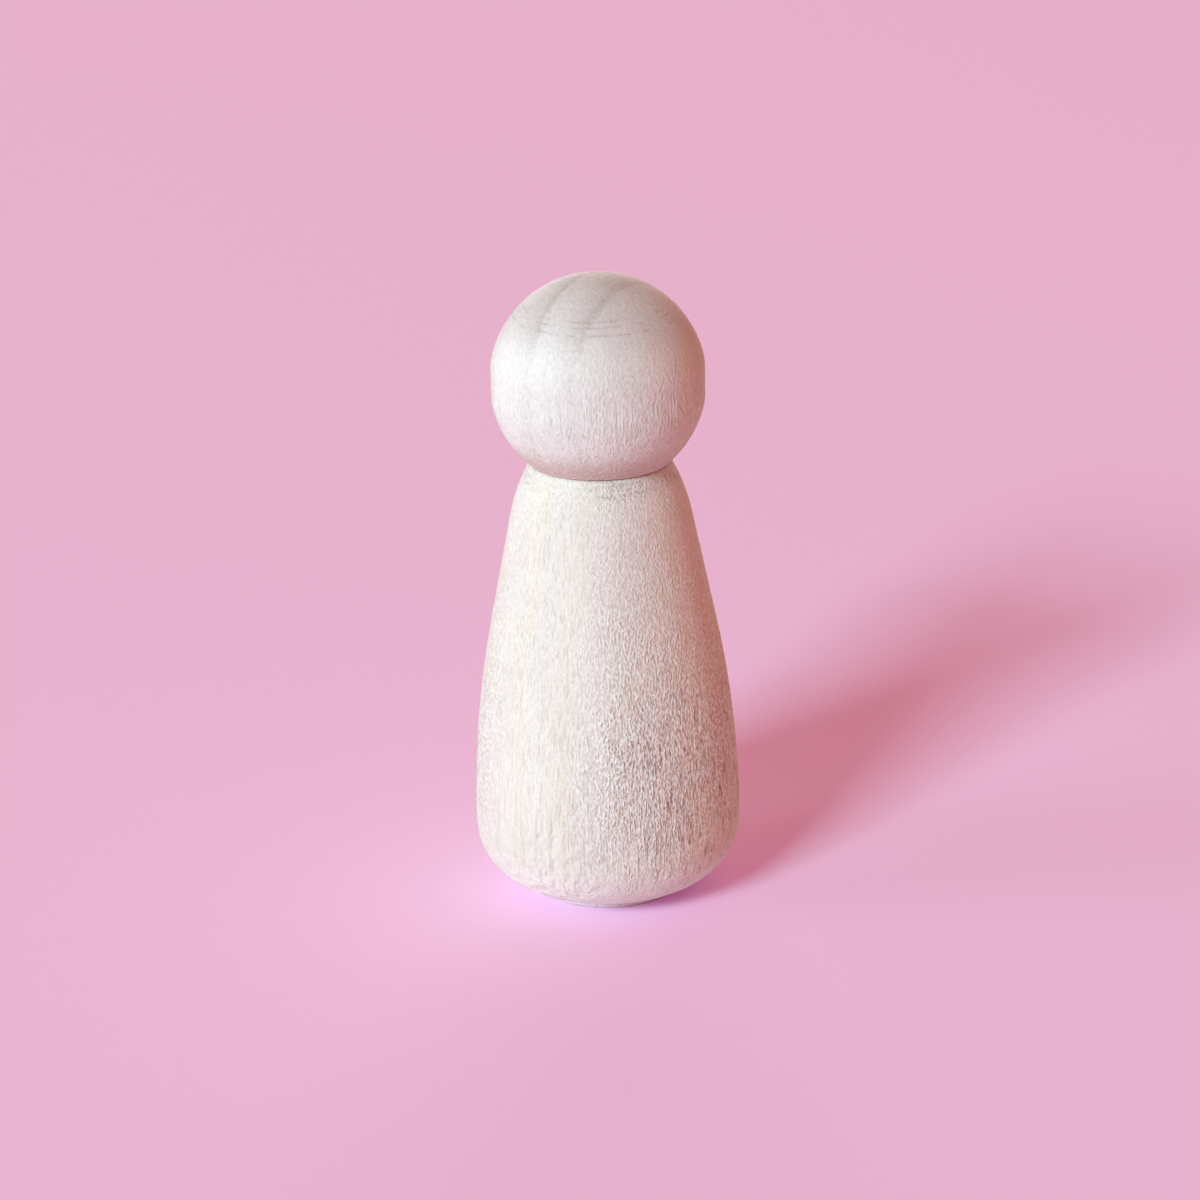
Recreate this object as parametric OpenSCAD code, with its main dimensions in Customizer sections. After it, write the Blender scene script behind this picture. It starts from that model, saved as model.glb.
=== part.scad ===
// Peg doll: a turned body and a half-drilled ball head, joined by a glued dowel pin.
// Millimetres, +Z up, with the origin at the middle of the foot that the doll stands on.

/* [Body] */
// Height of the body, from the table to the neck seat
body_h = 42.4; // [38:0.2:52]
// Widest diameter of the body, at the belly
body_d = 25.2; // [22:0.2:32]
// Diameter of the small land that the doll stands on
foot_d = 14.1; // [9:0.1:18]
// Height of that land
foot_h = 0.8; // [0.3:0.1:2]
// Radius of the round between the foot and the belly
base_round = 6.1; // [3:0.1:9]
// Length of the straight flank between the belly curve and the shoulder
flank_l = 10.8; // [4:0.2:20]
// Depth of the rounded shoulder below the neck seat
shoulder_h = 5.3; // [3.5:0.1:6.5]
// How far the shoulder stands out past the edge of the neck seat
shoulder_w = 2; // [1.7:0.1:3.2]

/* [Head] */
// Diameter of the ball head
head_d = 20; // [16:0.2:26]
// Depth that the turned land round the equator is cut below the ball
land_cut = 0.15; // [0.05:0.05:0.5]
// Diameter of the flat seat where head and body meet
seat_d = 13; // [9:0.1:15]

/* [Neck dowel] */
// Diameter of the dowel pin
dowel_d = 5; // [3:0.1:6]
// Length of the pin inside the head
pin_in_head = 10; // [6:0.5:12]
// Length of the pin inside the body
pin_in_body = 10; // [6:0.5:20]
// Chamfer at both ends of the pin
pin_chamfer = 0.6; // [0.2:0.1:1]
// Number of glue flutes round the pin
flute_count = 12; // [6:1:16]
// Diameter of the round cutter that makes a flute
flute_d = 0.8; // [0.4:0.1:1]
// Depth of a flute
flute_depth = 0.25; // [0.1:0.05:0.4]

/* [Fits] */
// Gap between the pin and the wall of its bores
dowel_clearance = 0.05; // [0.02:0.01:0.2]
// Room for glue past each end of the pin
glue_room = 0.6; // [0.2:0.1:1.5]
// Chamfer at the mouth of each bore
mouth_chamfer = 0.4; // [0.1:0.1:1]
// Size of the broken edges round the neck seat and the foot
edge_break = 0.2; // [0.05:0.05:0.4]

/* [Hidden] */
$fn = 128;

// Full angle of the drill's point
drill_point = 118;
// How far a cut runs past the face that it opens
overrun = 1;

// Radii
body_r = body_d / 2;
foot_r = foot_d / 2;
head_r = head_d / 2;
seat_r = seat_d / 2;
dowel_r = dowel_d / 2;
bore_r = dowel_r + dowel_clearance;

// Heights
belly_z = foot_h + base_round;
shoulder_z = body_h - shoulder_h;
head_z = body_h + sqrt(head_r ^ 2 - seat_r ^ 2);
drill_tip_h = bore_r / tan(drill_point / 2);

// The flank: a long belly curve leaves the widest line upright and runs into a straight taper of
// flank_l, which ends at the shoulder. The two tangents from the corner where they cross are equal.
shoulder_r = seat_r + shoulder_w;
flank_dr = body_r - shoulder_r;
flank_dz = shoulder_z - belly_z;
belly_tangent = (flank_dr ^ 2 + flank_dz ^ 2 - flank_l ^ 2) / (2 * (flank_dz + flank_l));
taper = atan2(flank_dr, flank_dz - belly_tangent);
belly_round = belly_tangent / tan(taper / 2);
flank_r = shoulder_r + flank_l * sin(taper);
flank_z = shoulder_z - flank_l * cos(taper);

// The shoulder: an arc that leaves the taper smoothly and ends on the edge of the neck seat
shoulder_sag = shoulder_w * cos(taper) - shoulder_h * sin(taper);
shoulder_round = (shoulder_w ^ 2 + shoulder_h ^ 2) / (2 * shoulder_sag);
shoulder_centre = [shoulder_r - shoulder_round * cos(taper), shoulder_z - shoulder_round * sin(taper)];

// The slice of a disc between two heights, on the right of the axis
module arc_slice(centre, radius, low, high) {
    intersection() {
        translate(centre) circle(r = radius);
        translate([0, low]) square([centre.x + radius, high - low]);
    }
}

// What the break of a sharp edge takes away, in an outline
module broken_edge(corner) {
    translate(corner) circle(r = edge_break, $fn = 4);
}

// Half of the body's turned outline
module body_outline() {
    base_centre = [body_r - base_round, belly_z];
    difference() {
        union() {
            square([foot_r, belly_z]);
            translate([0, foot_h]) square([base_centre.x, base_round]);
            arc_slice(base_centre, base_round, foot_h, belly_z);
            arc_slice([body_r - belly_round, belly_z], belly_round, belly_z, flank_z);
            polygon([[0, flank_z], [flank_r, flank_z], [shoulder_r, shoulder_z], [0, shoulder_z]]);
            arc_slice(shoulder_centre, shoulder_round, shoulder_z, body_h);
        }
        broken_edge([foot_r, 0]);
        broken_edge([seat_r, body_h]);
    }
}

// Half of the head's turned outline, about the middle of the ball
module head_outline() {
    seat_drop = head_z - body_h;
    difference() {
        intersection() {
            circle(r = head_r);
            translate([0, -seat_drop]) square([head_r - land_cut, seat_drop + head_r]);
        }
        broken_edge([seat_r, -seat_drop]);
    }
}

// A drilled blind hole that opens downwards at the origin: chamfered mouth, wall and drill point
module dowel_bore(pin_depth) {
    depth = pin_depth + glue_room;
    rotate_extrude()
        polygon([
            [0, -overrun],
            [bore_r + mouth_chamfer, -overrun],
            [bore_r + mouth_chamfer, 0],
            [bore_r, mouth_chamfer],
            [bore_r, depth],
            [0, depth + drill_tip_h]
        ]);
}

module body() {
    color("#e6ddd3")
        difference() {
            rotate_extrude() body_outline();
            translate([0, 0, body_h]) mirror([0, 0, 1]) dowel_bore(pin_in_body);
        }
}

module head() {
    color("#e3d9cf")
        difference() {
            translate([0, 0, head_z]) rotate_extrude() head_outline();
            translate([0, 0, body_h]) dowel_bore(pin_in_head);
        }
}

module neck_dowel() {
    low = body_h - pin_in_body;
    high = body_h + pin_in_head;
    flute_centre = dowel_r - flute_depth + flute_d / 2;
    color("#d9b98f")
        difference() {
            rotate_extrude()
                polygon([
                    [0, low],
                    [dowel_r - pin_chamfer, low],
                    [dowel_r, low + pin_chamfer],
                    [dowel_r, high - pin_chamfer],
                    [dowel_r - pin_chamfer, high],
                    [0, high]
                ]);
            for (i = [0 : flute_count - 1])
                rotate([0, 0, i * 360 / flute_count])
                    translate([flute_centre, 0, low - overrun])
                        cylinder(d = flute_d, h = high - low + 2 * overrun);
        }
}

body();
head();
neck_dowel();
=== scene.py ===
"""Peg doll of raw, pale wood: a turned body and a ball head, glued together with a dowel pin.

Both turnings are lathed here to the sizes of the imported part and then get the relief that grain, sanding
and turning tools leave. Sizes are in millimetres, and a mesh becomes metres as its last step.
"""
from math import acos, asin, atan2, cos, hypot, pi, radians, sin, tan

import bmesh
import bpy
from mathutils import Matrix, Vector, noise


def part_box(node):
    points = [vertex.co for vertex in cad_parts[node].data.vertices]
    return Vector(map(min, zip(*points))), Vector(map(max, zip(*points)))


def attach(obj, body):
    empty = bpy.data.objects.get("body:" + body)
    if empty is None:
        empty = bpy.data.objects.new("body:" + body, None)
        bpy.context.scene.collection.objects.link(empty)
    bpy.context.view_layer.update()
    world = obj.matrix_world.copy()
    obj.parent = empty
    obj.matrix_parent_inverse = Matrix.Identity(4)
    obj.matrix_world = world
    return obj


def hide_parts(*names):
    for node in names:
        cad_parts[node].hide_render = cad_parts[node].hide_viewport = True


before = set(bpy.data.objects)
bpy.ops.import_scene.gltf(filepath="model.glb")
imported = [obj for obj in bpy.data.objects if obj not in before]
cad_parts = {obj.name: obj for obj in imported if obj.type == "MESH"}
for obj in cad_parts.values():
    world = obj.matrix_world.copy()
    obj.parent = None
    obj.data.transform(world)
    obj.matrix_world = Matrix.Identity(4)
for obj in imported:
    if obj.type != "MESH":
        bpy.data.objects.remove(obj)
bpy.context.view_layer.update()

MM = 0.001


def in_mm(corner):
    """A corner of a node's box, in millimetres."""
    return Vector(corner) / MM


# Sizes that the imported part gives
BODY_RADIUS = in_mm(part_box("body")[1]).x
NECK_HEIGHT = in_mm(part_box("body")[1]).z
CROWN_HEIGHT = in_mm(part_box("head")[1]).z
LAND_RADIUS = in_mm(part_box("head")[1]).x

# The body's turned outline
FOOT_RADIUS = 7.05
FOOT_LAND = 0.8
BASE_ROUND = 6.1
FLANK_LENGTH = 10.8
SHOULDER_DEPTH = 5.3
SEAT_RADIUS = 6.5
SHOULDER_RADIUS = 8.5

# The head's turned outline
HEAD_RADIUS = 10.0
HEAD_MIDDLE = CROWN_HEIGHT - HEAD_RADIUS

# The dowel bores, the broken edges, and what a broken edge takes off a curve
BORE_RADIUS = 2.55
BORE_DEPTH = 10.6
BORE_POINT = radians(118)
BORE_CHAMFER = 0.4
EDGE_BREAK = 0.2
CURVE_BREAK = 0.15

# How fine the lathed meshes are, the equal sectors that they are spun in, and how near points are welded
COLUMNS = 600
SECTORS = 20
BODY_STEP = 0.34
HEAD_STEP = 0.22
FOOT_STEP = 0.6
WELD = 0.0005

# The direction in which a mesh lists its points and faces: upwards, and aslant across each height
LISTING = Vector((1.877, 1.0, 1000.0))

# The least distance from the axis that is divided by
OFF_AXIS = 0.001

# The growth rings are upright planes: the way they face, where the late wood of each one ends, how dark it
# is at distances from that end, how far the planes reach, and how much they wander and fray
RING_FACING = radians(-35)
RING_ACROSS = Vector((cos(RING_FACING), sin(RING_FACING), 0))
RING_ENDS = (-10.6, -6.1, -1.0, 3.4, 9.2)
RING_SHADES = ((-2.8, 0.0), (-0.9, 0.5), (-0.1, 1.0), (0.4, 0.0))
RING_REACH = 13.0
RING_WANDER = 1.1
RING_FRAY = 0.35

# The side turned away from the window, where a warm tint paints in warm shade: the way it faces,
# and how far from the axis the tint starts and is full
WARM_SHADE_FACING = radians(-5)
WARM_SHADE_ACROSS = Vector((cos(WARM_SHADE_FACING), sin(WARM_SHADE_FACING), 0))
WARM_SHADE_DEPTH = (4.0, 11.0)

# Relief of the body: how deep the swells, flecks, flat-sawn flecks and cracks are, the heights between
# which the grain is torn, and how far the foot, the neck's edge and the seat stay crisp
BODY_SWELL = 0.02
BODY_FLECK = 0.006
FLAT_SAWN_FLECK = 0.03
CRACK = 0.03
TORN_HEIGHTS = (0.9, 3.5, 17.0, 27.0)
CRISP_FOOT = 0.95
CRISP_NECK = 0.1
CRISP_SEAT = 0.05

# Relief of the head: how deep the swells and flecks are, the heights from its middle between which its
# lower half turns into the smooth crown, how far the chin and the bore stay crisp, and the height from
# its middle above which there is no bore
HEAD_SWELL = 0.015
HEAD_FLECK = 0.004
LOWER_FLECK = 0.02
SMOOTH_CROWN = (-1.5, 5.0)
CRISP_CHIN = 0.3
CRISP_BORE = 0.1
CROWN_ABOVE_BORE = 8.0

# The softened edges of the land: heights from the head's middle, the least radius and the passes
LAND_EDGE = (0.9, 2.6)
LAND_EDGE_RADIUS = 9.0
LAND_EDGE_PASSES = 8

# Heights on the body between which its finish or its painted light changes
GRAIN_CALMS = (16.0, 30.0)
BASE_CALM = (5.0, 14.0)
SHOULDER_CALM = (30.0, 38.0)
COMBED = (9.0, 22.0)
# Painted light: the base is lighter towards the foot, standing in for light bounced up from the floor
BOUNCE_LIGHT_HEIGHTS = (1.0, 7.5)
DIMPLED = (10.0, 17.0)
ROUGH_RIM = (40.5, 41.0)

# Heights on the head between which its finish or its painted shade changes
CROWN = (53.5, 57.5)
LOWER_HALF = (48.5, 53.5)
LOWER_CALM = (43.5, 47.5)
# The chin darkens towards the neck: partly end grain, partly painted shade under the head
CHIN = (43.0, 46.0)

# Lines that the turning tools left: height and half width, and how far a line drifts
SHOULDER_LINE = (40.6, 0.16)
CROWN_LINES = ((56.4, 0.14), (57.0, 0.12), (57.4, 0.14))
LINE_DRIFT = 0.12

# Colours that both turnings share: a painted highlight for the crests of raised fibres, a painted warm
# shade for the side turned away from the window, and a painted shade for pits
FIBRE_HIGHLIGHT = "#fffdfb"
WARM_SHADE_COLOUR = "#e9d0ba"
PIT_SHADE_COLOUR = "#a8958a"

# The stage, in metres: half the floor's side, how far the lamps stand from the doll's middle, and how
# high that middle is
FLOOR_REACH = 1.5
LAMP_DISTANCE = 6.0
DOLL_MIDDLE = 0.03

# The camera: sensor and lens, where it stands from the foot, and how it looks down, turns and leans
SENSOR_WIDTH = 36.0
LENS_LENGTH = 108.0
CAMERA_DISTANCE = 348.43
CAMERA_ELEVATION = radians(24.512)
CAMERA_DIP = radians(20.101)
CAMERA_TURN = radians(0.055)
CAMERA_LEAN = radians(-1.376)


def smooth_share(value, low, high):
    """0 below low, 1 above high, and a smooth run between them."""
    share = min(max((value - low) / (high - low), 0.0), 1.0)
    return share * share * (3 - 2 * share)


def hump(value, low, peak_low, peak_high, high):
    """Rises from low to peak_low, stays, and falls from peak_high to high."""
    return smooth_share(value, low, peak_low) * (1 - smooth_share(value, peak_high, high))


# Lathe work


class Outline:
    """Half of a turned outline, drawn in the XZ plane. The lathe's axis is Z."""

    def __init__(self, radius, height):
        self.mesh = bmesh.new()
        self.end = self.mesh.verts.new((radius, 0, height))

    def line(self, radius, height, step=None):
        """Runs straight to a point, in pieces of about one step."""
        start = self.end.co.copy()
        goal = Vector((radius, 0, height))
        pieces = max(1, round((goal - start).length / step)) if step else 1
        for piece in range(pieces):
            made = bmesh.ops.extrude_vert_indiv(self.mesh, verts=[self.end])
            self.end = made["verts"][0]
            self.end.co = start.lerp(goal, (piece + 1) / pieces)

    def arc(self, centre, turn, step):
        """Runs on round a centre (radius, height) by an angle, in pieces of about one step."""
        middle = Vector((centre[0], 0, centre[1]))
        length = abs(turn) * (self.end.co - middle).length
        made = bmesh.ops.spin(
            self.mesh,
            geom=[self.end],
            cent=middle,
            axis=(0, -1, 0),
            angle=turn,
            steps=max(2, round(length / step)),
        )
        self.end = next(v for v in made["geom_last"] if isinstance(v, bmesh.types.BMVert))

    def turned(self):
        """Spins the outline into one sector, and that round into a closed turning."""
        sector = 2 * pi / SECTORS
        about_axis = {"cent": (0, 0, 0), "axis": (0, 0, 1)}
        outline = self.mesh.verts[:] + self.mesh.edges[:]
        bmesh.ops.spin(self.mesh, geom=outline, angle=sector, steps=COLUMNS // SECTORS, **about_axis)
        slice_of_wood = self.mesh.verts[:] + self.mesh.edges[:] + self.mesh.faces[:]
        bmesh.ops.spin(
            self.mesh,
            geom=slice_of_wood,
            angle=2 * pi - sector,
            steps=SECTORS - 1,
            use_duplicate=True,
            **about_axis,
        )
        bmesh.ops.remove_doubles(self.mesh, verts=self.mesh.verts, dist=WELD)
        list_in_order(self.mesh)
        bmesh.ops.recalc_face_normals(self.mesh, faces=self.mesh.faces)
        self.mesh.normal_update()
        return self.mesh


def list_in_order(mesh):
    """Lists points and faces by their places, because the weld leaves them in another order each run."""
    mesh.verts.sort(key=lambda vert: LISTING.dot(vert.co))
    mesh.verts.index_update()
    mesh.faces.sort(key=lambda face: LISTING.dot(face.calc_center_median()))
    mesh.faces.index_update()


def finished_piece(name, mesh):
    """Turns a lathed mesh from millimetres into an object of the scene, in metres."""
    bmesh.ops.scale(mesh, vec=(MM, MM, MM), verts=mesh.verts)
    for face in mesh.faces:
        face.smooth = True
    data = bpy.data.meshes.new(name)
    mesh.to_mesh(data)
    mesh.free()
    piece = bpy.data.objects.new(name, data)
    bpy.context.scene.collection.objects.link(piece)
    return piece


def body_outline():
    """The body from its foot round the base, up the belly, flank and shoulder, and down into its bore."""
    belly_height = FOOT_LAND + BASE_ROUND
    shoulder_height = NECK_HEIGHT - SHOULDER_DEPTH
    fall = BODY_RADIUS - SHOULDER_RADIUS
    rise = shoulder_height - belly_height
    tangent = (fall**2 + rise**2 - FLANK_LENGTH**2) / (2 * (rise + FLANK_LENGTH))
    taper = atan2(fall, rise - tangent)
    belly_round = tangent / tan(taper / 2)

    overhang = SHOULDER_RADIUS - SEAT_RADIUS
    sag = overhang * cos(taper) - SHOULDER_DEPTH * sin(taper)
    shoulder_round = (overhang**2 + SHOULDER_DEPTH**2) / (2 * sag)
    shoulder_centre = (
        SHOULDER_RADIUS - shoulder_round * cos(taper),
        shoulder_height - shoulder_round * sin(taper),
    )
    seat_angle = atan2(NECK_HEIGHT - shoulder_centre[1], SEAT_RADIUS - shoulder_centre[0])
    seat_angle -= CURVE_BREAK / shoulder_round

    base_centre = (BODY_RADIUS - BASE_ROUND, belly_height)
    base_angle = acos((FOOT_RADIUS - base_centre[0]) / BASE_ROUND)
    wall_top = belly_height - BASE_ROUND * sin(base_angle)

    outline = Outline(0, 0)
    outline.line(FOOT_RADIUS - EDGE_BREAK, 0, FOOT_STEP)
    outline.line(FOOT_RADIUS, EDGE_BREAK, EDGE_BREAK / 2)
    outline.line(FOOT_RADIUS, wall_top, EDGE_BREAK)
    outline.arc(base_centre, base_angle, BODY_STEP)
    outline.arc((BODY_RADIUS - belly_round, belly_height), taper, BODY_STEP)
    outline.line(SHOULDER_RADIUS, shoulder_height, BODY_STEP)
    outline.arc(shoulder_centre, seat_angle - taper, BODY_STEP)
    outline.line(SEAT_RADIUS - EDGE_BREAK, NECK_HEIGHT, EDGE_BREAK / 2)
    outline.line(BORE_RADIUS + BORE_CHAMFER, NECK_HEIGHT)
    outline.line(BORE_RADIUS, NECK_HEIGHT - BORE_CHAMFER)
    outline.line(BORE_RADIUS, NECK_HEIGHT - BORE_DEPTH)
    outline.line(0, NECK_HEIGHT - BORE_DEPTH - BORE_RADIUS / tan(BORE_POINT / 2))
    return outline


def head_outline():
    """The head from its bore out to the seat, round the ball with the land on its equator, to the crown."""
    middle = (0, HEAD_MIDDLE)
    land_angle = acos(LAND_RADIUS / HEAD_RADIUS)
    seat_angle = asin((NECK_HEIGHT - HEAD_MIDDLE) / HEAD_RADIUS) + CURVE_BREAK / HEAD_RADIUS
    chin_height = HEAD_MIDDLE + HEAD_RADIUS * sin(seat_angle)

    outline = Outline(0, NECK_HEIGHT + BORE_DEPTH + BORE_RADIUS / tan(BORE_POINT / 2))
    outline.line(BORE_RADIUS, NECK_HEIGHT + BORE_DEPTH)
    outline.line(BORE_RADIUS, NECK_HEIGHT + BORE_CHAMFER)
    outline.line(BORE_RADIUS + BORE_CHAMFER, NECK_HEIGHT)
    outline.line(SEAT_RADIUS - EDGE_BREAK, NECK_HEIGHT)
    outline.line(HEAD_RADIUS * cos(seat_angle), chin_height, EDGE_BREAK / 2)
    outline.arc(middle, -land_angle - seat_angle, HEAD_STEP)
    outline.line(LAND_RADIUS, HEAD_MIDDLE + HEAD_RADIUS * sin(land_angle), HEAD_STEP)
    outline.arc(middle, pi / 2 - land_angle, HEAD_STEP)
    return outline


# Relief


def grain_noise(place, across, along, seed):
    """Noise drawn out along the upright grain, from about -1 to 1."""
    return noise.noise(Vector((place.x * across + seed, place.y * across - seed, place.z * along + seed)))


def hollows(place, across, along, seed):
    """The same noise as a depth, from about 0 to 1."""
    return 0.5 + 0.5 * grain_noise(place, across, along, seed)


def flat_sawn_share(place):
    """1 where the surface lies along the growth rings, 0 where it cuts straight across them."""
    radius = max(hypot(place.x, place.y), OFF_AXIS)
    return (RING_ACROSS.dot(place) / radius) ** 2


def torn_share(place):
    """How strongly the grain is torn out at a place on the body: low down, where it is flat-sawn."""
    low_down = hump(place.z, *TORN_HEIGHTS)
    patch = smooth_share(grain_noise(place, across=0.25, along=0.14, seed=3.7), low=-0.5, high=0.2)
    return smooth_share(flat_sawn_share(place), low=0.25, high=0.8) * low_down * patch


def crack_share(place):
    """How far an upright crack of the torn grain opens at a place, from 0 to 1."""
    strand_width = 0.2
    strand = 1 - abs(grain_noise(place, across=1.25, along=0.22, seed=11.3)) / strand_width
    broken = smooth_share(grain_noise(place, across=1.1, along=0.5, seed=23.9), low=-0.05, high=0.3)
    return smooth_share(strand, low=0.0, high=1.0) * broken


def sink(depths):
    """Moves points inwards by their depths, all of which are known before the first one moves."""
    for vert, depth in depths:
        vert.co -= vert.normal * depth


def relieve_body(mesh):
    """Sinks the grain's relief into the body's turned side. The foot, the seat and the bore stay crisp."""
    depths = []
    for vert in mesh.verts:
        place = vert.co
        in_seat = hypot(place.x, place.y) < SEAT_RADIUS - CRISP_SEAT
        if in_seat or place.z < CRISP_FOOT or place.z > NECK_HEIGHT - CRISP_NECK:
            continue
        swell = hollows(place, across=0.25, along=0.07, seed=47.7)
        fleck = hollows(place, across=2.2, along=1.0, seed=31.1)
        fleck_depth = BODY_FLECK + FLAT_SAWN_FLECK * flat_sawn_share(place)
        crack = torn_share(place) * crack_share(place)
        depths.append((vert, BODY_SWELL * swell + fleck_depth * fleck + CRACK * crack))
    sink(depths)


def soften_land(mesh):
    """Rounds the two edges where the head's land meets the ball."""
    low, high = LAND_EDGE
    edge = []
    for vert in mesh.verts:
        near = low < abs(vert.co.z - HEAD_MIDDLE) < high
        if near and hypot(vert.co.x, vert.co.y) > LAND_EDGE_RADIUS:
            edge.append(vert)
    for _ in range(LAND_EDGE_PASSES):
        bmesh.ops.smooth_vert(
            mesh, verts=edge, factor=0.5, use_axis_x=True, use_axis_y=True, use_axis_z=True
        )
    mesh.normal_update()


def relieve_head(mesh):
    """Sinks the grain's relief into the head, more below its equator than on the smooth crown."""
    low, high = SMOOTH_CROWN
    depths = []
    for vert in mesh.verts:
        place = vert.co
        near_axis = hypot(place.x, place.y) < BORE_RADIUS + CRISP_BORE
        in_bore = near_axis and place.z < HEAD_MIDDLE + CROWN_ABOVE_BORE
        if in_bore or place.z < NECK_HEIGHT + CRISP_CHIN:
            continue
        below = 1 - smooth_share(place.z, HEAD_MIDDLE + low, HEAD_MIDDLE + high)
        swell = hollows(place, across=0.25, along=0.1, seed=61.9)
        fleck = hollows(place, across=2.6, along=0.9, seed=53.3)
        depths.append((vert, HEAD_SWELL * swell + (HEAD_FLECK + LOWER_FLECK * below) * fleck))
    sink(depths)


# Shader nodes


def linear(hex_colour):
    """A colour written as #rrggbb, for a shader socket."""
    channels = [int(hex_colour[i : i + 2], 16) / 255 for i in (1, 3, 5)]
    return [c / 12.92 if c <= 0.04045 else ((c + 0.055) / 1.055) ** 2.4 for c in channels] + [1.0]


class Nodes:
    """Adds nodes to a material, a world or a node group and joins them up."""

    def __init__(self, tree):
        self.tree = tree

    def add(self, kind, feeds=None, **settings):
        """A new node, with its settings made and its inputs fed by values or other nodes' outputs."""
        made = self.tree.nodes.new(kind)
        for name, value in settings.items():
            setattr(made, name, value)
        for key, value in (feeds or {}).items():
            self.feed(made.inputs[key], value)
        return made

    def feed(self, socket, value):
        """Links an output to a socket, or writes a plain value on it."""
        if isinstance(value, bpy.types.NodeSocket):
            self.tree.links.new(value, socket)
        else:
            socket.default_value = value

    def maths(self, operation, first, second=0.0):
        return self.add("ShaderNodeMath", {0: first, 1: second}, operation=operation).outputs[0]

    def total(self, *values):
        result = values[0]
        for value in values[1:]:
            result = self.maths("ADD", result, value)
        return result

    def product(self, *values):
        result = values[0]
        for value in values[1:]:
            result = self.maths("MULTIPLY", result, value)
        return result

    def reach(self, vector, towards):
        """How far a vector reaches in a fixed direction."""
        feeds = {0: vector, 1: towards}
        return self.add("ShaderNodeVectorMath", feeds, operation="DOT_PRODUCT").outputs["Value"]

    def separate(self, vector):
        return self.add("ShaderNodeSeparateXYZ", {0: vector}).outputs

    def run(self, value, low, high, start=0.0, end=1.0):
        """A smooth run from start to end as the value goes from low to high."""
        feeds = {"Value": value, "From Min": low, "From Max": high, "To Min": start, "To Max": end}
        return self.add("ShaderNodeMapRange", feeds, interpolation_type="SMOOTHSTEP").outputs["Result"]

    def fall(self, value, low, high):
        """1 below low, 0 above high, and a smooth run between them."""
        return self.run(value, low, high, start=1.0, end=0.0)

    def straight_run(self, value, low, high):
        """A straight run from 0 to 1 as the value goes from low to high."""
        feeds = {"Value": value, "From Min": low, "From Max": high}
        return self.add("ShaderNodeMapRange", feeds).outputs["Result"]

    def tint(self, share, colour, other):
        """Mixes from a colour to another one by a share."""
        return self.add("ShaderNodeMix", {0: share, 6: colour, 7: other}, data_type="RGBA").outputs[2]

    def grain(self, place, across, along, detail=2.0, roughness=0.5, shift=0.0):
        """Noise drawn out along the upright grain: so many waves to a millimetre across and along it."""
        mapped = self.add(
            "ShaderNodeMapping",
            {"Vector": place, "Location": (shift, -shift, shift), "Scale": (across, across, along)},
        )
        feeds = {"Vector": mapped.outputs[0], "Scale": 1.0, "Detail": detail, "Roughness": roughness}
        return self.add("ShaderNodeTexNoise", feeds).outputs[0]

    def thread(self, place, across, along, width, shift):
        """Thin threads that run along the grain: 1 on a thread, 0 beside it."""
        middle = self.grain(place, across, along, detail=1.0, shift=shift)
        return self.fall(self.maths("ABSOLUTE", self.maths("SUBTRACT", middle, 0.5)), 0.0, width)

    def seen(self):
        """1 for what the camera sees, straight or in a reflection, and 0 for the light that bounces."""
        path = self.add("ShaderNodeLightPath").outputs
        return self.total(path["Is Camera Ray"], path["Is Glossy Ray"], path["Is Transmission Ray"])


def new_group(name, inputs, outputs):
    """An empty shader node group with named sockets, ready to be filled."""
    tree = bpy.data.node_groups.new(name, "ShaderNodeTree")
    for socket, kind in inputs.items():
        tree.interface.new_socket(socket, in_out="INPUT", socket_type=kind)
    for socket in outputs:
        tree.interface.new_socket(socket, in_out="OUTPUT", socket_type="NodeSocketFloat")
    nodes = Nodes(tree)
    return nodes, nodes.add("NodeGroupInput").outputs, nodes.add("NodeGroupOutput").inputs


def growth_ring_group():
    """Late wood: each ring darkens slowly towards its end, then stops short. The group also gives how
    flat-sawn a place is, and the side turned away from the window, which gets a painted warm shade.
    """
    nodes, given, result = new_group(
        "growth_rings", {"Place": "NodeSocketVector"}, ("Late Wood", "Flat Sawn", "Warm Shade Side")
    )
    place = given["Place"]
    broad = nodes.grain(place, across=0.1, along=0.03)
    wander = nodes.run(broad, 0.0, 1.0, start=-RING_WANDER, end=RING_WANDER)
    fine = nodes.grain(place, across=1.6, along=0.25, shift=5.0)
    fray = nodes.run(fine, 0.0, 1.0, start=-RING_FRAY, end=RING_FRAY)
    across = nodes.reach(place, RING_ACROSS)
    depth = nodes.total(across, wander, fray)

    ramp = nodes.add("ShaderNodeValToRGB", {0: nodes.straight_run(depth, -RING_REACH, RING_REACH)})
    stops = ramp.color_ramp.elements
    for stop, position in zip(stops, (0.0, 1.0)):
        stop.position = position
        stop.color = (0, 0, 0, 1)
    for end in RING_ENDS:
        for offset, shade in RING_SHADES:
            stop = stops.new((end + offset + RING_REACH) / (2 * RING_REACH))
            stop.color = (shade, shade, shade, 1)
    nodes.feed(result["Late Wood"], ramp.outputs[0])

    x, y, _ = nodes.separate(place)
    off_axis_squared = 0.01
    squares = nodes.total(nodes.product(x, x), nodes.product(y, y), off_axis_squared)
    radius = nodes.maths("SQRT", squares)
    share = nodes.maths("DIVIDE", across, radius)
    nodes.feed(result["Flat Sawn"], nodes.product(share, share))

    # The side turned away from the window, which a warm tint paints in warm shade
    inwards = nodes.total(nodes.reach(place, WARM_SHADE_ACROSS), wander, fray)
    nodes.feed(result["Warm Shade Side"], nodes.run(inwards, *WARM_SHADE_DEPTH))
    return nodes.tree


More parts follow.
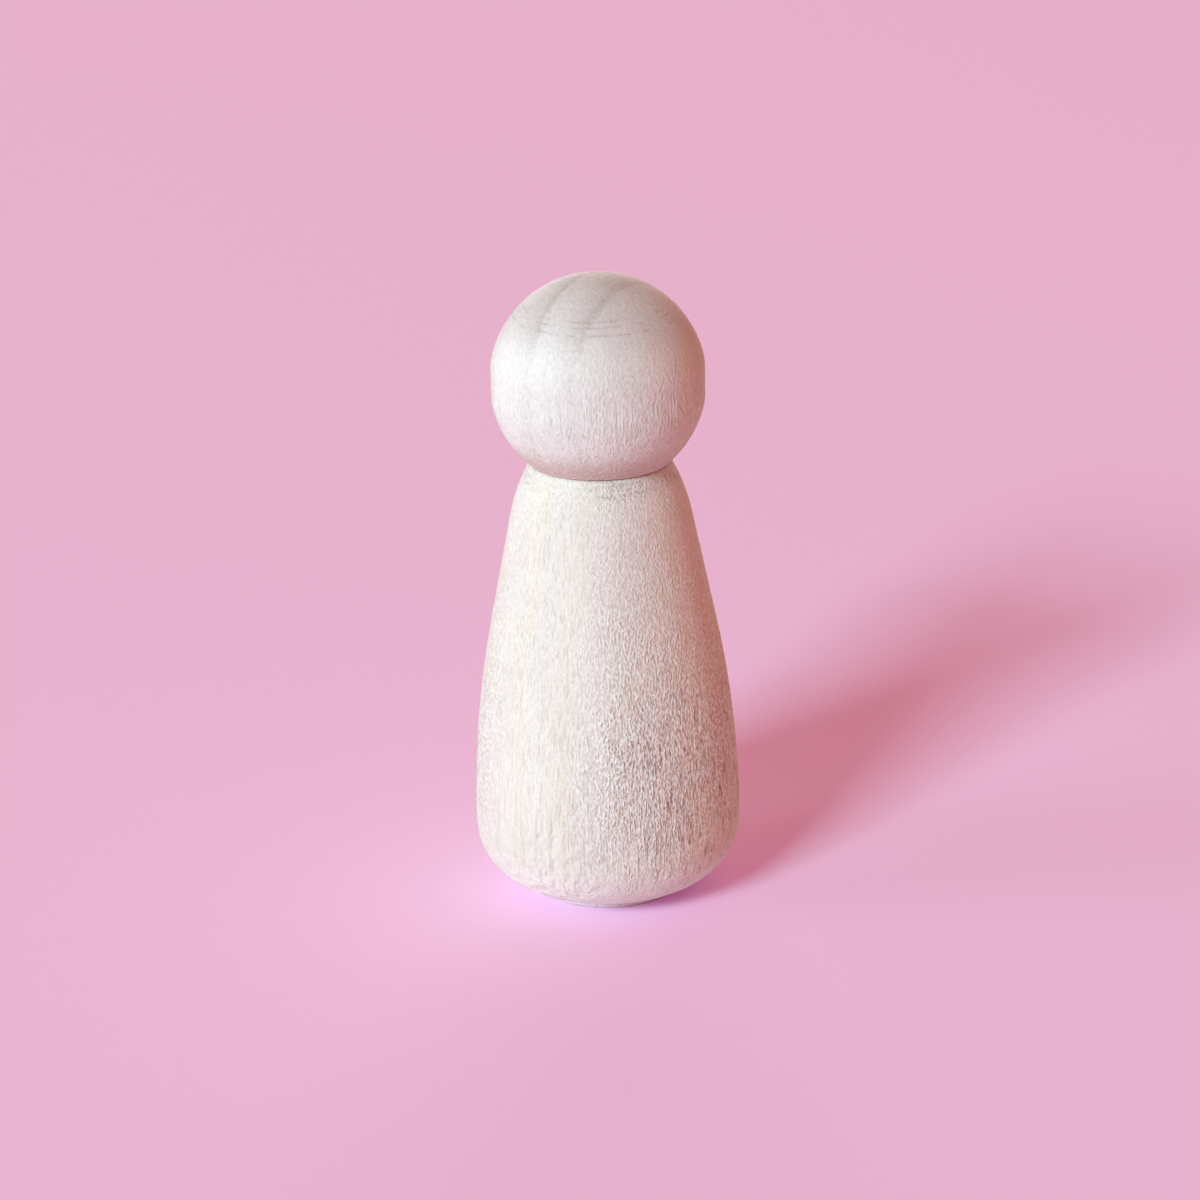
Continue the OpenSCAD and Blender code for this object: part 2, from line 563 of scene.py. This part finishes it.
def wood_fibre_group():
    """The fine structure of close-grained wood, from speckle of fibre ends to long straight fibre lines."""
    nodes, given, result = new_group(
        "wood_fibres",
        {"Place": "NodeSocketVector"},
        ("Speckle", "Curls", "Strands", "Splits", "Fibre Lines", "Pores", "Blotches"),
    )
    place = given["Place"]
    nodes.feed(result["Speckle"], nodes.grain(place, across=5.2, along=2.6, detail=1.0, shift=7.0))

    curls = nodes.thread(place, across=2.6, along=1.2, width=0.1, shift=11.0)
    shown = nodes.run(nodes.grain(place, across=2.0, along=1.2, shift=15.0), 0.5, 0.62)
    nodes.feed(result["Curls"], nodes.product(curls, shown))

    strands = nodes.thread(place, across=2.2, along=0.09, width=0.1, shift=19.0)
    shown = nodes.run(nodes.grain(place, across=2.0, along=0.45, shift=21.0), 0.46, 0.6)
    nodes.feed(result["Strands"], nodes.product(strands, shown))

    splits = nodes.thread(place, across=2.2, along=0.14, width=0.045, shift=41.0)
    shown = nodes.run(nodes.grain(place, across=1.6, along=0.65, detail=1.0, shift=43.0), 0.52, 0.58)
    nodes.feed(result["Splits"], nodes.product(splits, shown))

    lines = nodes.grain(place, across=4.6, along=0.07, roughness=0.6)
    nodes.feed(result["Fibre Lines"], nodes.run(lines, 0.5, 0.68))
    pores = nodes.grain(place, across=4.0, along=0.9, shift=13.0)
    nodes.feed(result["Pores"], nodes.run(pores, 0.62, 0.74))
    blotches = nodes.grain(place, across=0.22, along=0.1, detail=3.0, roughness=0.55, shift=17.0)
    nodes.feed(result["Blotches"], nodes.run(blotches, 0.3, 0.7))
    return nodes.tree


def turned_line_group():
    """A fine line that a turning tool leaves round the piece at one height, broken here and there."""
    nodes, given, result = new_group(
        "turned_line",
        {"Place": "NodeSocketVector", "Height": "NodeSocketFloat", "Width": "NodeSocketFloat"},
        ("Line",),
    )
    place = given["Place"]
    waver = nodes.grain(place, across=0.3, along=0.3, detail=1.0)
    drift = nodes.run(waver, 0.0, 1.0, start=-LINE_DRIFT, end=LINE_DRIFT)
    height = nodes.total(nodes.separate(place)[2], drift)
    away = nodes.maths("ABSOLUTE", nodes.maths("SUBTRACT", height, given["Height"]))
    line = nodes.fall(nodes.maths("DIVIDE", away, given["Width"]), 0.0, 1.0)
    broken = nodes.run(nodes.grain(place, across=0.7, along=0.1, shift=3.0), 0.38, 0.62)
    nodes.feed(result["Line"], nodes.product(line, broken))
    return nodes.tree


GROWTH_RINGS = growth_ring_group()
WOOD_FIBRES = wood_fibre_group()
TURNED_LINE = turned_line_group()


# Woods


class Wood:
    """A wood in the making: its place in millimetres, the shared groups, its colour and its relief."""

    def __init__(self, name, fineness=1.0):
        self.material = bpy.data.materials.new(name)
        self.material.use_nodes = True
        self.material.node_tree.nodes.clear()
        self.nodes = Nodes(self.material.node_tree)
        where = self.nodes.add("ShaderNodeTexCoord").outputs["Object"]
        self.place = self.scaled(where, 1 / MM)
        self.height = self.nodes.separate(self.place)[2]
        self.rings = self.group(GROWTH_RINGS, {"Place": self.place})
        self.fibres = self.group(WOOD_FIBRES, {"Place": self.scaled(self.place, fineness)})
        self.colour = None
        self.relief = None

    def scaled(self, vector, scale):
        feeds = {"Vector": vector, "Scale": (scale, scale, scale)}
        return self.nodes.add("ShaderNodeMapping", feeds).outputs[0]

    def group(self, tree, feeds):
        return self.nodes.add("ShaderNodeGroup", feeds, node_tree=tree).outputs

    def turned_line(self, height, width):
        feeds = {"Place": self.place, "Height": height, "Width": width}
        return self.group(TURNED_LINE, feeds)["Line"]

    def ground(self, colour, other):
        """The colour that all layers go on, grain and painted light alike: two shades in broad blotches."""
        self.colour = self.nodes.tint(self.fibres["Blotches"], linear(colour), linear(other))

    def lay_colour(self, mask, strength, colour):
        """Turns the colour so far towards another one where a mask is 1."""
        self.colour = self.nodes.tint(self.nodes.product(mask, strength), self.colour, linear(colour))

    def emboss(self, mask, height):
        """Raises the surface by a height where a mask is 1, or cuts it where the height is negative."""
        layer = self.nodes.product(mask, height)
        self.relief = layer if self.relief is None else self.nodes.total(self.relief, layer)

    def finish(self, roughness):
        """Joins the shader."""
        bump = self.nodes.add("ShaderNodeBump", {"Height": self.relief, "Strength": 1.0, "Distance": MM})
        shader = self.nodes.add(
            "ShaderNodeBsdfPrincipled",
            {
                "Base Color": self.colour,
                "Roughness": roughness,
                "Normal": bump.outputs[0],
                "Specular IOR Level": 0.3,
            },
        )
        self.nodes.add("ShaderNodeOutputMaterial", {"Surface": shader.outputs[0]})
        return self.material


def body_wood():
    """Rough raised grain on the flat-sawn sides and straight fibre lines between them. Painted highlights
    on the raised crests and threads, painted shade in the pits and cracks, painted warm shade on the side
    away from the window, and painted light bounced from the floor on the base.
    """
    wood = Wood("raw_body_wood")
    nodes = wood.nodes
    flat = wood.rings["Flat Sawn"]
    speckle = wood.fibres["Speckle"]
    lines = wood.fibres["Fibre Lines"]
    pores = wood.fibres["Pores"]

    low_down = nodes.fall(wood.height, *GRAIN_CALMS)
    patch_grain = nodes.grain(wood.place, across=0.55, along=0.3, shift=37.0)
    patches = nodes.run(patch_grain, 0.3, 0.7, start=0.75, end=1.05)
    raised = nodes.product(nodes.run(flat, 0.02, 0.45), nodes.straight_run(low_down, -0.7, 1.0))
    calmer = nodes.product(
        nodes.run(wood.height, *BASE_CALM, start=0.45, end=1.0),
        nodes.run(wood.height, *SHOULDER_CALM, start=1.0, end=0.75),
    )
    rough = nodes.product(nodes.total(0.27, nodes.product(raised, 1.1)), patches, calmer)
    combed = nodes.product(nodes.run(flat, 0.1, 0.6), nodes.run(wood.height, *COMBED, start=1.0, end=0.15))
    straight_grain = nodes.run(flat, 0.0, 0.5, start=1.0, end=0.15)

    pit_shade = nodes.product(nodes.fall(speckle, 0.3, 0.5), rough)
    crest_highlights = nodes.product(nodes.run(speckle, 0.46, 0.66), rough)
    curls = nodes.product(wood.fibres["Curls"], rough)
    strands = nodes.product(wood.fibres["Strands"], combed)
    straight_lines = nodes.product(lines, straight_grain)
    splits = nodes.product(wood.fibres["Splits"], nodes.run(flat, 0.35, 0.85), low_down, patches)
    rim_grain = nodes.grain(wood.place, across=3.4, along=3.4, roughness=0.6, shift=29.0)
    rim_pits = nodes.run(rim_grain, 0.48, 0.66)
    rim_sides = nodes.run(flat, 0.0, 0.4, start=0.1, end=1.0)
    rough_rim = nodes.product(nodes.run(wood.height, *ROUGH_RIM), rim_pits, rim_sides)

    wood.ground("#ece6e0", "#e5ded7")
    wood.lay_colour(wood.rings["Late Wood"], 0.5, "#ebe0cd")
    # Painted warm shade on the side turned away from the window
    wood.lay_colour(wood.rings["Warm Shade Side"], 0.9, WARM_SHADE_COLOUR)
    # Painted shade in the pits of the raised grain
    wood.lay_colour(pit_shade, 0.3, "#a9745e")
    # Painted highlights on the crests of the raised grain
    wood.lay_colour(crest_highlights, 0.95, FIBRE_HIGHLIGHT)
    wood.lay_colour(straight_lines, 0.4, "#cbbcaa")
    wood.lay_colour(pores, 0.16, "#a8917f")
    # Painted highlights on the raised curls and strands
    wood.lay_colour(curls, 0.5, FIBRE_HIGHLIGHT)
    wood.lay_colour(strands, 0.5, FIBRE_HIGHLIGHT)
    # Painted shade in the cracks of the torn grain
    wood.lay_colour(splits, 0.75, "#94553c")
    # Painted shade in the pits of the rough rim
    wood.lay_colour(rough_rim, 0.34, PIT_SHADE_COLOUR)
    # Painted light bounced up from the floor, lighter towards the foot
    wood.lay_colour(nodes.fall(wood.height, *BOUNCE_LIGHT_HEIGHTS), 0.85, "#fdfbf9")

    dimples = nodes.grain(wood.place, across=1.3, along=0.9, detail=1.0, shift=51.0)
    wood.emboss(nodes.product(dimples, nodes.fall(wood.height, *DIMPLED), straight_grain), 0.36)
    wood.emboss(nodes.product(speckle, rough), 0.25)
    wood.emboss(curls, 0.04)
    wood.emboss(strands, 0.08)
    wood.emboss(straight_lines, -0.025)
    wood.emboss(pores, -0.015)
    wood.emboss(splits, -0.07)
    wood.emboss(wood.turned_line(*SHOULDER_LINE), -0.03)
    wood.emboss(rough_rim, -0.05)
    return wood.finish(roughness=nodes.run(speckle, 0.25, 0.75, start=0.74, end=0.6))


def head_wood():
    """Combed fibres on the lower half, and end grain with rings and tool lines on the crown. Painted
    highlights on the raised crests and strands, painted shade in the pits and under the chin, and painted
    warm shade on the side away from the window.
    """
    wood = Wood("raw_head_wood", fineness=0.8)
    nodes = wood.nodes
    flat = nodes.run(wood.rings["Flat Sawn"], 0.0, 0.5)
    speckle = wood.fibres["Speckle"]
    pores = wood.fibres["Pores"]

    crown = nodes.run(wood.height, *CROWN)
    below = nodes.product(
        nodes.fall(wood.height, *LOWER_HALF), nodes.run(wood.height, *LOWER_CALM, start=0.25, end=1.0)
    )
    rough = nodes.total(0.48, nodes.product(below, flat, 0.2), nodes.product(crown, -0.24))
    combed = nodes.product(below, nodes.straight_run(flat, -0.8, 1.0))

    mottle = nodes.grain(wood.place, across=1.9, along=1.9, detail=3.0, roughness=0.65, shift=47.0)
    mottled_crown = nodes.product(crown, nodes.run(mottle, 0.3, 0.7))
    rings = nodes.product(wood.rings["Late Wood"], nodes.straight_run(crown, -0.35, 1.0))
    pit_shade = nodes.product(nodes.fall(speckle, 0.3, 0.5), rough)
    crest_highlights = nodes.product(nodes.run(speckle, 0.5, 0.7), rough)
    lower_lines = nodes.product(wood.fibres["Fibre Lines"], below)
    strands = nodes.product(wood.fibres["Strands"], combed)
    crown_lines = nodes.total(*(wood.turned_line(height, width) for height, width in CROWN_LINES))

    wood.ground("#eeeae7", "#e5e0dc")
    # Painted warm shade on the side turned away from the window
    wood.lay_colour(wood.rings["Warm Shade Side"], 0.9, WARM_SHADE_COLOUR)
    # Darker towards the neck: partly end grain, partly painted shade under the head
    wood.lay_colour(nodes.fall(wood.height, *CHIN), 0.8, "#cfb2aa")
    wood.lay_colour(crown, 0.5, "#dacfd2")
    wood.lay_colour(mottled_crown, 0.3, "#bfb2b2")
    wood.lay_colour(rings, 0.42, "#ab9d92")
    # Painted shade in the pits of the raised grain
    wood.lay_colour(pit_shade, 0.3, PIT_SHADE_COLOUR)
    # Painted highlights on the crests of the raised grain
    wood.lay_colour(crest_highlights, 0.6, FIBRE_HIGHLIGHT)
    wood.lay_colour(lower_lines, 0.25, "#c4bab4")
    # Painted highlights on the raised strands
    wood.lay_colour(strands, 0.35, FIBRE_HIGHLIGHT)
    wood.lay_colour(nodes.product(pores, nodes.straight_run(below, -0.3, 1.0)), 0.3, "#a08674")
    wood.lay_colour(crown_lines, 0.35, "#a8998e")

    wood.emboss(nodes.product(speckle, rough), 0.17)
    wood.emboss(mottled_crown, 0.025)
    wood.emboss(strands, 0.035)
    wood.emboss(lower_lines, -0.02)
    wood.emboss(nodes.product(pores, below), -0.015)
    wood.emboss(crown_lines, -0.025)
    return wood.finish(roughness=nodes.run(speckle, 0.25, 0.75, start=0.7, end=0.56))


def dowel_wood():
    """A darker, plainer hardwood for the pin."""
    wood = Wood("raw_dowel_wood")
    lines = wood.fibres["Fibre Lines"]
    pores = wood.fibres["Pores"]
    wood.ground("#dcbd92", "#d2ac7e")
    wood.lay_colour(lines, 0.3, "#b98f62")
    wood.lay_colour(pores, 0.5, "#8c6440")
    wood.emboss(lines, -0.02)
    wood.emboss(pores, -0.03)
    return wood.finish(roughness=wood.nodes.run(lines, 0.0, 1.0, start=0.55, end=0.7))


# Pieces


def make_body():
    mesh = body_outline().turned()
    relieve_body(mesh)
    piece = finished_piece("turned_body", mesh)
    piece.data.materials.append(body_wood())
    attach(piece, "root")
    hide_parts("body")


def make_head():
    mesh = head_outline().turned()
    soften_land(mesh)
    relieve_head(mesh)
    piece = finished_piece("turned_head", mesh)
    piece.data.materials.append(head_wood())
    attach(piece, "root")
    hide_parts("head")


def finish_dowel():
    """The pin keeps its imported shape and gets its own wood."""
    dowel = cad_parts["neck_dowel"]
    material = dowel_wood()
    if not dowel.material_slots:
        dowel.data.materials.append(material)
    for slot in dowel.material_slots:
        slot.material = material


# Stage: floor, light and camera


def blush_floor():
    """A matt blush. Its own faint glow, which lights nothing else, keeps its shade from going brown."""
    material = bpy.data.materials.new("blush_floor")
    material.use_nodes = True
    nodes = Nodes(material.node_tree)
    shader = material.node_tree.nodes["Principled BSDF"]
    shader.inputs["Base Color"].default_value = linear("#ffdaf3")
    shader.inputs["Roughness"].default_value = 0.9
    shader.inputs["Specular IOR Level"].default_value = 0.1
    shader.inputs["Emission Color"].default_value = (0.8, 0.15, 1.0, 1.0)
    nodes.feed(shader.inputs["Emission Strength"], nodes.product(nodes.seen(), 0.11))
    return material


def make_floor():
    mesh = bmesh.new()
    bmesh.ops.create_grid(mesh, x_segments=1, y_segments=1, size=FLOOR_REACH)
    data = bpy.data.meshes.new("floor")
    mesh.to_mesh(data)
    mesh.free()
    floor = bpy.data.objects.new("floor", data)
    bpy.context.scene.collection.objects.link(floor)
    data.materials.append(blush_floor())


def direction(azimuth, elevation):
    """A unit vector towards an azimuth, from +X round to +Y, and an elevation."""
    return Vector((cos(azimuth) * cos(elevation), sin(azimuth) * cos(elevation), sin(elevation)))


def add_lamp(name, azimuth, elevation, width, height, power, colour):
    """A soft lamp, as wide and high as a window, that faces the middle of the doll."""
    lamp = bpy.data.lights.new(name, "AREA")
    lamp.shape = "RECTANGLE"
    lamp.size = width
    lamp.size_y = height
    lamp.energy = power
    lamp.color = colour
    holder = bpy.data.objects.new(name, lamp)
    towards = direction(radians(azimuth), radians(elevation))
    holder.location = Vector((0, 0, DOLL_MIDDLE)) + towards * LAMP_DISTANCE
    holder.rotation_mode = "QUATERNION"
    holder.rotation_quaternion = towards.to_track_quat("Z", "Y")
    bpy.context.scene.collection.objects.link(holder)


def make_light():
    """A cool window in front on the left, a low lamp on the left, and a pale lamp behind."""
    add_lamp(
        "window",
        azimuth=-125,
        elevation=29,
        width=1.8,
        height=1.4,
        power=298.0,
        colour=(0.56, 0.91, 0.99),
    )
    add_lamp(
        "side_lamp",
        azimuth=-172,
        elevation=6,
        width=2.0,
        height=2.0,
        power=134.0,
        colour=(0.82, 1.0, 1.0),
    )
    add_lamp(
        "back_lamp",
        azimuth=90,
        elevation=6,
        width=4.0,
        height=2.0,
        power=140.0,
        colour=(0.97, 0.98, 1.0),
    )


def make_world():
    """A warm surround, deep red in front and paler behind. The camera sees a plain blush instead."""
    deep_red = (0.40, 0.105, 0.03, 1.0)
    pale_red = (0.42, 0.22, 0.13, 1.0)
    world = bpy.data.worlds.new("studio")
    world.use_nodes = True
    nodes = Nodes(world.node_tree)
    towards = nodes.add("ShaderNodeTexCoord").outputs["Generated"]
    behind = nodes.reach(towards, direction(azimuth=radians(90), elevation=radians(15)))
    glow = nodes.tint(nodes.run(behind, -0.2, 0.8), deep_red, pale_red)
    background = world.node_tree.nodes["Background"]
    nodes.feed(background.inputs["Color"], nodes.tint(nodes.seen(), glow, linear("#f6cce0")))
    background.inputs["Strength"].default_value = 1.0
    bpy.context.scene.world = world


def make_camera():
    """The photograph's view: from in front and above, with a slight lean."""
    lens = bpy.data.cameras.new("camera")
    lens.sensor_width = SENSOR_WIDTH
    lens.lens = LENS_LENGTH
    camera = bpy.data.objects.new("camera", lens)
    stand = direction(azimuth=radians(-90), elevation=CAMERA_ELEVATION) * CAMERA_DISTANCE * MM
    turn = Matrix.Rotation(CAMERA_TURN, 4, "Z")
    tilt = Matrix.Rotation(pi / 2 - CAMERA_DIP, 4, "X")
    lean = Matrix.Rotation(CAMERA_LEAN, 4, "Z")
    camera.matrix_world = Matrix.Translation(stand) @ turn @ tilt @ lean
    bpy.context.scene.collection.objects.link(camera)
    bpy.context.scene.camera = camera
    bpy.context.scene.view_settings.view_transform = "Standard"


make_camera()
make_light()
make_world()
make_floor()
make_body()
make_head()
finish_dowel()

bpy.context.view_layer.update()
